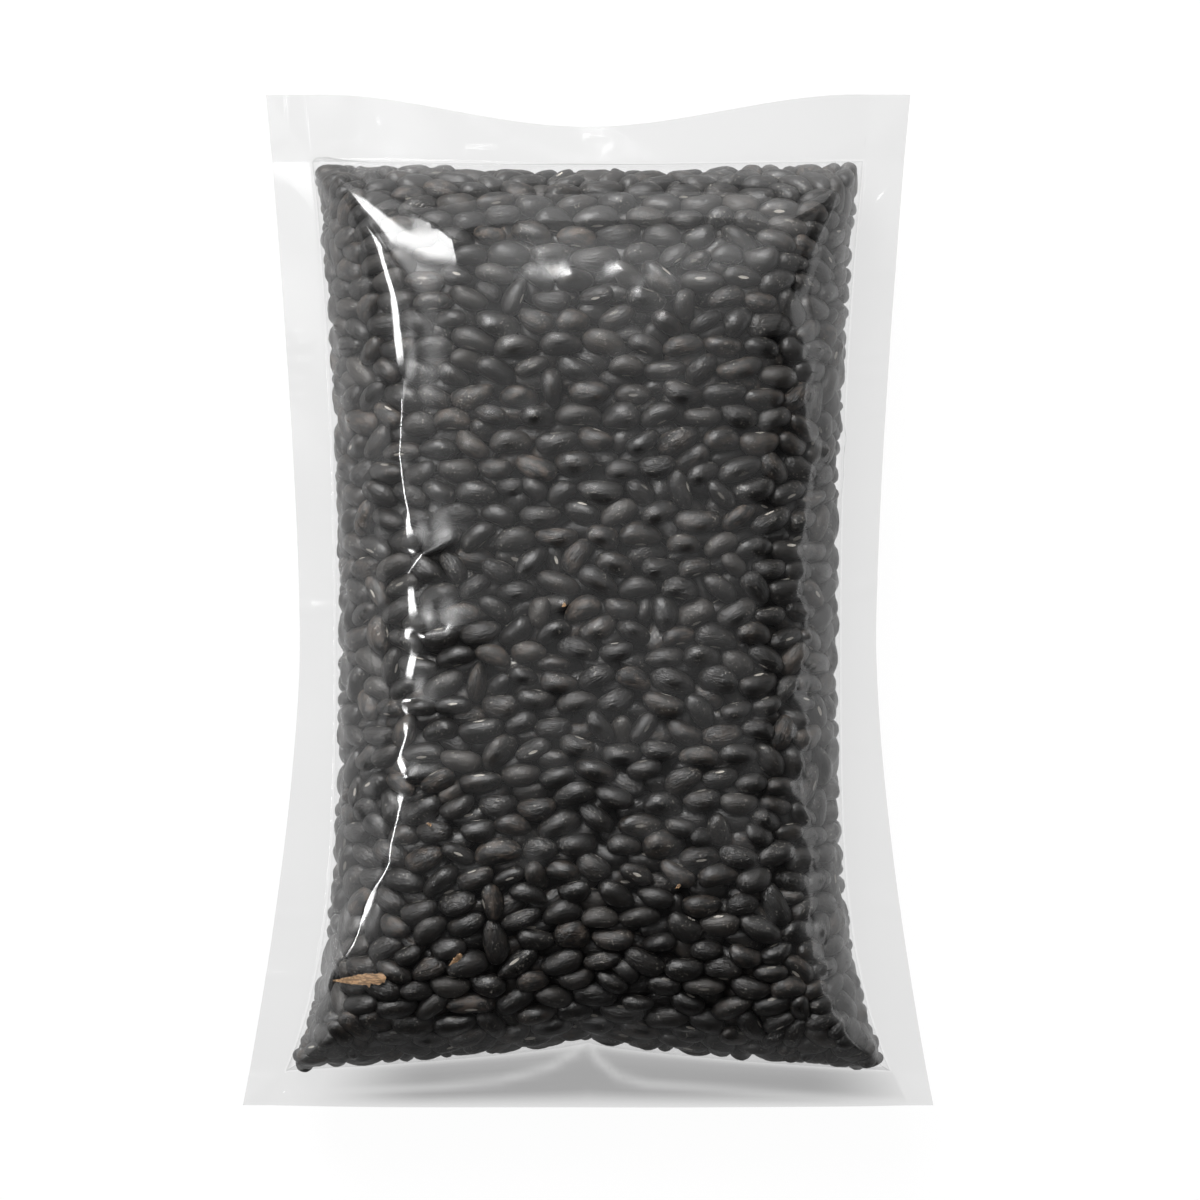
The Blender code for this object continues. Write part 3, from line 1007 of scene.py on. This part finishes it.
def depths_under(skin, normals, inside, surfaces):
    """How far under each point of the smooth film its beans lie."""
    depths = np.full(inside.shape, DEEPEST)
    for index in np.argwhere(inside):
        index = tuple(index)
        out = Vector(normals[index])
        start = Vector(skin[index]) + out * RAY_START
        _, _, _, distance = surfaces.ray_cast(start, -out, RAY_START + DEEPEST)
        if distance is not None:
            depths[index] = distance - RAY_START
    return depths


def finer_left(shares):
    """Closer columns over the left shoulder, where the folds are."""
    return 1 + FINER_BY * (1 - ease((shares - FINER_LEFT_OF) / FINER_LEFT_FADE))


def finer_rows(shares):
    """Closer rows where folds run across."""
    fade = FINER_ROWS_FADE
    near = sum(ease((shares - low) / fade + 1) * (1 - ease((shares - high) / fade))
               for low, high in FINER_BETWEEN)
    return 1 + FINER_BY * near


def way_past(points, marks):
    """The distance of each point from a bent line, and how high a fold along it stands there."""
    ends, heights = marks[:, :2], marks[:, 2]
    lengths = np.linalg.norm(np.diff(ends, axis=0), axis=1)
    nearest = np.full(points.shape[:-1], np.inf)
    height = np.zeros(points.shape[:-1])
    for start, end, low, high, length in zip(ends, ends[1:], heights, heights[1:], lengths):
        step = (end - start) / length
        way = np.clip((points[..., :2] - start) @ step, 0, length)
        away = np.linalg.norm(points[..., :2] - start - way[..., None] * step, axis=-1)
        height = np.where(away < nearest, mix(low, high, way / length), height)
        nearest = np.minimum(nearest, away)
    return nearest, height


def lift_of(points, folds):
    """How far some folds stand up at each point, and how near the nearest of them is."""
    lift = np.zeros(points.shape[:-1])
    slack = np.zeros(points.shape[:-1])
    for half_width, marks in folds:
        away, height = way_past(points, np.array(marks) * MM)
        round_top = np.clip(1 - (away / (half_width * MM)) ** 2, 0, 1)
        lift = np.maximum(lift, height * round_top)
        slack = np.maximum(slack, np.exp(-(away / FOLD_REACH) ** 2))
    return lift, slack


def step_weights(points, axis):
    """One over the square of the step between neighbours of a grid along one axis."""
    steps = np.linalg.norm(np.diff(points, axis=axis), axis=-1)
    steps = (steps[1:, 1:-1] + steps[:-1, 1:-1]) / 2 if axis == 0 else (
        steps[1:-1, 1:] + steps[1:-1, :-1]) / 2
    return 1 / np.maximum(steps, 1e-5) ** 2


def drape(points, depths, inside, lift, pull):
    """A taut skin: each point is drawn in a little from its neighbours, down to the beans and
    the folds that hold it up."""
    held = np.where(inside, depths - CLEARANCE, 0.0)
    held = np.where(inside & (lift > 0), np.minimum(held, -lift), held)
    skin = np.minimum(held, 0.0)
    up, over = step_weights(points, 0), step_weights(points, 1)
    both = 2 * (up + over)
    drawn_in = 4 * pull[1:-1, 1:-1] / both
    up, over = up / both, over / both
    for _ in range(DRAPE_ROUNDS):
        before = skin.copy()
        around = (skin[:-2, 1:-1] + skin[2:, 1:-1]) * up + (skin[1:-1, :-2] + skin[1:-1, 2:]) * over
        skin[1:-1, 1:-1] = np.minimum(around + drawn_in, held[1:-1, 1:-1])
        skin[~inside] = 0.0
    return (skin + before) / 2


def pull_of(across, along, slack):
    """How strongly each part of the film is drawn in between the beans: most on the shoulders,
    least beside a fold and at the head."""
    rise = swell(np.clip(across, -1, 1), np.clip(along, -1, 1))
    shoulder = 1 + SHOULDER_PULL * ease((SHOULDER_RISE - rise) / SHOULDER_FADE)
    pull = bpy.context.scene.film_sizes.pull * shoulder * (1 - FOLD_TAUTNESS * slack)
    return pull * (1 - HEAD_TAUTNESS * ease((along - HEAD_TAUT_FROM) / HEAD_TAUT_FADE))


def painted_foot_shade(skin, across, along):
    """How much painted shadow the film's tint carries at each part of the foot's margin, standing
    for the shade under the foot.
    """
    growth = SHADE_LEAST + (1 - SHADE_LEAST) * ease((-along - 1) / SHADE_GROWTH)
    shade = ease((-along - SHADE_START) / SHADE_START_FADE) * growth
    shade *= 1 - ease((-along - SHADE_END) / SHADE_END_FADE)
    shade *= 1 - ARC_LIGHTNESS * lift_of(skin, FOOT_ARCS)[1] ** ARC_THINNESS
    aside = np.abs(across - SHADE_MIDDLE) - SHADE_HALF_WIDTH
    return shade * (1 - ease(aside / SHADE_SIDE_FADE))


def film_sheet(upper, spacing, margin_steps, surfaces):
    """One sheet of film, with how far it is welded and how much painted foot shadow it carries kept
    for its material.
    """
    finer = (finer_left, finer_rows) if upper else ()
    across, along = sheet_shares(spacing, margin_steps, *finer)
    skin = pouch_points(across, along, upper, SHEET_GAP)
    normals = normals_of(skin) * (1 if upper else -1)
    outward = np.maximum(np.abs(across), np.abs(along))
    inside = outward < SEAM_SHARE
    depths = depths_under(skin, normals, inside, surfaces)
    lift, slack = lift_of(skin, FOLDS if upper else ())
    drawn = drape(skin, depths, inside, lift, pull_of(across, along, slack))
    if upper:
        drawn -= np.where(inside, 0.0, np.maximum(lift, lift_of(skin, PUCKERS + FOOT_ARCS)[0]))
    points = skin - normals * drawn[:, :, None]
    points[:, :, 2] = np.maximum(points[:, :, 2], 0.0)
    faces = grid_faces(*across.shape, flip=not upper)
    name = "film_front" if upper else "film_back"
    mesh = new_mesh(name, points.reshape(-1, 3), faces)
    keep_values(mesh, "weld", np.clip(outward - WELD_START, 0, 1).ravel())
    keep_values(mesh, "painted_foot_shadow", painted_foot_shade(skin, across, along).ravel())
    return new_piece(name, mesh, film_material())


# The core, the stage and the settings

CORE_INSET = 0.0085
CORE_SPACING = 0.006


def core_mesh():
    """The pillow's own form, drawn in on every side, as one closed skin."""
    points, faces = closed_pouch(CORE_SPACING)
    middle = (points.min(0) + points.max(0)) / 2
    half = (points.max(0) - points.min(0)) / 2
    points = middle + (points - middle) * (half - CORE_INSET) / half
    return new_mesh("core", points, faces)


def colour_property(name, description, default):
    return FloatVectorProperty(name=name, description=description, default=default, size=4,
                               subtype="COLOR", min=0.0, max=1.0)


def length_property(name, description, default):
    return FloatProperty(name=name, description=description, default=default, unit="LENGTH",
                         min=0.0, precision=5)


class BeanSizes(bpy.types.PropertyGroup):
    length: length_property("Length", "A typical bean's length", 0.0097)
    width: length_property("Width", "A typical bean's width across its seed scar", 0.0060)
    thickness: length_property("Thickness", "A typical bean's thickness", 0.0050)
    spread: FloatProperty(name="Spread", description="How uneven the beans are in size",
                          default=0.07, subtype="FACTOR", min=0.0, max=0.2)
    seed: IntProperty(name="Seed", description="Which of many heaps is packed", default=11)


class FilmSizes(bpy.types.PropertyGroup):
    pull: FloatProperty(name="Pull", description="How strongly the film is drawn in between the "
                        "beans, as the curve of its free stretches in 1/m", default=4.0)


class BagColours(bpy.types.PropertyGroup):
    coat: colour_property("Coat", "A clean black bean", (0.0076, 0.0071, 0.0067, 1))
    dusty_coat: colour_property("Dusty coat", "A dull grey-brown bean", (0.0165, 0.0147, 0.0130, 1))
    worn: colour_property("Worn", "Brown where a coat is rubbed", (0.070, 0.050, 0.036, 1))
    scar: colour_property("Seed scar", "The pale scar on a bean's belly", (0.46, 0.43, 0.38, 1))
    core: colour_property("Core", "The dark between the beans", (0.008, 0.007, 0.006, 1))
    film: colour_property("Film", "What one sheet of film lets through", (0.95, 0.95, 0.95, 1))
    margin: colour_property("Margin", "What one sheet lets through in the welded margin",
                            (0.892, 0.892, 0.892, 1))
    # Painted shadow: this tint at the foot's middle stands for the shade under the foot, not for the
    # film.
    painted_shadow_tint: colour_property("Foot margin", "What one sheet lets through at the foot's middle",
                                 (0.63, 0.63, 0.63, 1))
    husk: colour_property("Husk", "The dry bits of pod", (0.50, 0.30, 0.15, 1))
    floor: colour_property("Floor", "The table", (0.05, 0.05, 0.05, 1))


class BEANBAG_OT_fill(bpy.types.Operator):
    """Packs the beans, one piece for each kind, over a dark core"""
    bl_idname = "beanbag.fill"
    bl_label = "Fill with beans"

    # Each kind's name, share of the beans, coat colour, wear, wrinkles and least roughness.
    KINDS = (
        ("beans_smooth", 0.24, "coat", 0.35, 0.40, 0.16),
        ("beans_satin", 0.26, "coat", 0.55, 0.60, 0.22),
        ("beans_wrinkled", 0.24, "coat", 0.70, 1.20, 0.20),
        ("beans_brown", 0.12, "coat", 1.00, 0.70, 0.24),
        ("beans_dusty", 0.14, "dusty_coat", 0.70, 0.60, 0.30),
    )
    # Keeps a bean's kind apart from how pale its coat is, which the same draw settles.
    KIND_SHUFFLE = 7919

    def execute(self, context):
        colours = context.scene.bag_colours
        heap = packed_heap()
        draw = heap.nature[:, 0] * self.KIND_SHUFFLE % 1
        start = 0.0
        for name, share, coat, wear, wrinkle, gloss in self.KINDS:
            chosen = np.nonzero((draw >= start) & (draw < start + share))[0]
            start += share
            material = bean_material(name, getattr(colours, coat), colours.worn, colours.scar,
                                     wear, wrinkle, gloss)
            new_piece(name, bean_mesh(name, heap, chosen), material)
        material = core_material(colours.core, colours.worn)
        new_piece("bean_core", core_mesh(), material, [NODE])
        husks = husk_mesh(np.random.default_rng(context.scene.bean_sizes.seed))
        new_piece("husks", husks, husk_material(colours.husk))
        return {"FINISHED"}


class BEANBAG_OT_film(bpy.types.Operator):
    """Draws the two sheets of clear film over the beans"""
    bl_idname = "beanbag.film"
    bl_label = "Draw the film over"

    def execute(self, context):
        surfaces = bean_surfaces()
        film_sheet(True, FRONT_SPACING, FRONT_MARGIN_STEPS, surfaces)
        film_sheet(False, BACK_SPACING, BACK_MARGIN_STEPS, surfaces)
        return {"FINISHED"}


TABLE_HALF_WIDTH = 4.0
TABLE_DROP = 0.0004
CAMERA_HEIGHT = 1.40
CAMERA_ASIDE = 0.003
VIEW_WIDTH = 0.300
SENSOR_WIDTH = 36.0
BAG_MIDDLE = (0, 0, 0.03)

# Each lamp: its name, its place, the point it faces, its width and depth, how bright it is, over
# what share of its half width it fades, and whether it shows in reflections and lights the scene.
LAMPS = (
    ("overhead_box", (0.0, 0.95, 1.9), (0, 0.95, 0), 4.4, 2.50, 0.30, 0.2, True, True),
    ("overhead_head_box", (0.0, 1.20, 1.88), (0, 1.20, 0), 4.4, 1.90, 0.10, 0.3, True, True),
    ("table_box", (-0.3, 0.6, 2.2), (0, 0.3, 0), 5.0, 5.0, 0.30, 0.0, False, True),
    ("near_box", (-0.25, 0.65, 0.55), (0, 0.05, 0), 0.4, 0.4, 22.0, 0.0, False, True),
    ("head_box", (0.0, 2.0, 0.80), BAG_MIDDLE, 3.2, 0.8, 1.0, 0.0, True, False),
    ("left_strip", (-1.24, 0.0, 0.96), BAG_MIDDLE, 0.5, 0.28, 20.0, 0.5, True, False),
    ("left_halo", (-0.95, 0.28, 1.20), BAG_MIDDLE, 0.5, 0.5, 4.0, 0.9, True, False),
    ("fan_halo", (-0.42, 0.36, 1.20), BAG_MIDDLE, 0.6, 0.5, 3.0, 0.8, True, False),
    ("key_box", (-0.38, 1.00, 1.08), BAG_MIDDLE, 0.66, 1.25, 14.0, 0.4, True, False),
    ("right_box", (1.5, 0.0, 0.16), BAG_MIDDLE, 2.4, 0.34, 1.2, 0.6, True, False),
    ("left_box", (-1.5, 0.0, 0.16), BAG_MIDDLE, 2.4, 0.34, 0.65, 0.6, True, False),
)


def soft_box(name, place, target, width, depth, radiance, fade, mirrored, lights):
    """A rectangular lamp that faces a target and fades towards its edges."""
    lamp = bpy.data.lights.new(name, "AREA")
    lamp.shape = "RECTANGLE"
    lamp.size = width
    lamp.size_y = depth
    lamp.energy = radiance * math.pi * width * depth
    if fade:
        lamp.use_nodes = True
        tree = lamp.node_tree
        spot = tree.nodes.new("ShaderNodeNewGeometry").outputs["Parametric"]
        sides = parts_of(tree, vector_step(tree, "SUBTRACT", spot, (0.5, 0.5, 0.5)))
        fades = [ramp_of(tree, sum_of(tree, "ABSOLUTE", sides[axis]), 0.5, 0.5 * (1 - fade))
                 for axis in "XY"]
        feed_all(tree, tree.nodes["Emission"], Strength=sum_of(tree, "MULTIPLY", *fades))
    holder = bpy.data.objects.new(name, lamp)
    holder.location = place
    aim = Vector(target) - Vector(place)
    holder.rotation_mode = "QUATERNION"
    holder.rotation_quaternion = aim.to_track_quat("-Z", "Y")
    holder.visible_glossy = mirrored
    holder.visible_diffuse = lights
    bpy.context.scene.collection.objects.link(holder)


def floor_material(colour):
    """A matt table that glows white, but dimmer in reflections, most of all beyond the foot."""
    material, tree, shader = new_material("pale_table")
    place = object_place(tree)
    tone = blend_colours(tree, noise(tree, place, 2.0, 2.0), colour, darker(colour, 0.985))
    path = tree.nodes.new("ShaderNodeLightPath")
    mirrored = ramp_of(tree, parts_of(tree, place)["Y"], -0.15, -0.09, 0.10, 0.75)
    unmirrored = sum_of(tree, "SUBTRACT", 1.0, path.outputs["Is Glossy Ray"])
    glow = sum_of(tree, "MAXIMUM", mirrored, sum_of(tree, "MULTIPLY", unmirrored, 0.97))
    feed_all(tree, shader, Base_Color=tone, Roughness=0.9, Specular_IOR_Level=0.0,
             Emission_Color=(1, 1, 1, 1), Emission_Strength=glow)
    return material


def light_world():
    """A world that looks near white, and lights the bag softly from low beyond its head."""
    world = bpy.data.worlds.new("studio")
    world.use_nodes = True
    tree = world.node_tree
    seen = tree.nodes["Background"]
    seen.inputs["Color"].default_value = (0.95, 0.95, 0.95, 1)
    way = parts_of(tree, tree.nodes.new("ShaderNodeTexCoord").outputs["Generated"])
    near_table = ramp_of(tree, way["Z"], 0.05, 0.60, 0.34, 0.02)
    not_foot = ramp_of(tree, way["Y"], -0.6, 0.3, 0.04, 1.0)
    lit = add_node(tree, "ShaderNodeBackground", Color=(1.0, 1.0, 1.0, 1),
                   Strength=sum_of(tree, "MULTIPLY", near_table, not_foot))
    path = tree.nodes.new("ShaderNodeLightPath")
    both = blend_shaders(tree, path.outputs["Is Camera Ray"], lit, seen)
    feed_all(tree, tree.nodes["World Output"], Surface=both.outputs[0])
    bpy.context.scene.world = world


def lay_table(colour):
    corners = np.array([(-1, -1, 0), (1, -1, 0), (1, 1, 0), (-1, 1, 0)]) * TABLE_HALF_WIDTH
    corners[:, 2] = -TABLE_DROP
    table = bpy.data.objects.new("table", new_mesh("table", corners, np.array([[0, 1, 2, 3]])))
    table.data.materials.append(floor_material(colour))
    bpy.context.scene.collection.objects.link(table)
    table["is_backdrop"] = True


def hang_camera():
    """A camera over the bag's middle that sees a square of a set width at the seam's height."""
    camera = bpy.data.objects.new("camera", bpy.data.cameras.new("camera"))
    camera.data.sensor_width = SENSOR_WIDTH
    camera.data.lens = SENSOR_WIDTH / VIEW_WIDTH * (CAMERA_HEIGHT - SEAM_HEIGHT)
    camera.location = (CAMERA_ASIDE, 0.0, CAMERA_HEIGHT)
    bpy.context.scene.collection.objects.link(camera)
    bpy.context.scene.camera = camera


class BEANBAG_OT_stage(bpy.types.Operator):
    """Sets the pale table, the soft boxes and the camera straight above"""
    bl_idname = "beanbag.stage"
    bl_label = "Set the stage"

    def execute(self, context):
        lay_table(context.scene.bag_colours.floor)
        for lamp in LAMPS:
            soft_box(*lamp)
        light_world()
        hang_camera()
        context.scene.view_settings.view_transform = "Standard"
        return {"FINISHED"}


class BEANBAG_PT_panel(bpy.types.Panel):
    bl_label = "Bean bag"
    bl_idname = "BEANBAG_PT_panel"
    bl_space_type = "VIEW_3D"
    bl_region_type = "UI"
    bl_category = "Bean bag"

    def draw(self, context):
        for settings in (context.scene.bean_sizes, context.scene.film_sizes,
                         context.scene.bag_colours):
            box = self.layout.box()
            for name in settings.__annotations__:
                box.prop(settings, name)
        for step in STEPS:
            self.layout.operator(step.bl_idname)


STEPS = (BEANBAG_OT_fill, BEANBAG_OT_film, BEANBAG_OT_stage)
CLASSES = (BeanSizes, FilmSizes, BagColours, *STEPS, BEANBAG_PT_panel)


def register():
    for made in CLASSES:
        bpy.utils.register_class(made)
    bpy.types.Scene.bean_sizes = PointerProperty(type=BeanSizes)
    bpy.types.Scene.film_sizes = PointerProperty(type=FilmSizes)
    bpy.types.Scene.bag_colours = PointerProperty(type=BagColours)


def unregister():
    del bpy.types.Scene.bag_colours
    del bpy.types.Scene.film_sizes
    del bpy.types.Scene.bean_sizes
    for made in reversed(CLASSES):
        bpy.utils.unregister_class(made)


def main():
    register()
    bpy.ops.beanbag.fill()
    bpy.ops.beanbag.film()
    bpy.ops.beanbag.stage()


if __name__ == "__main__":
    main()
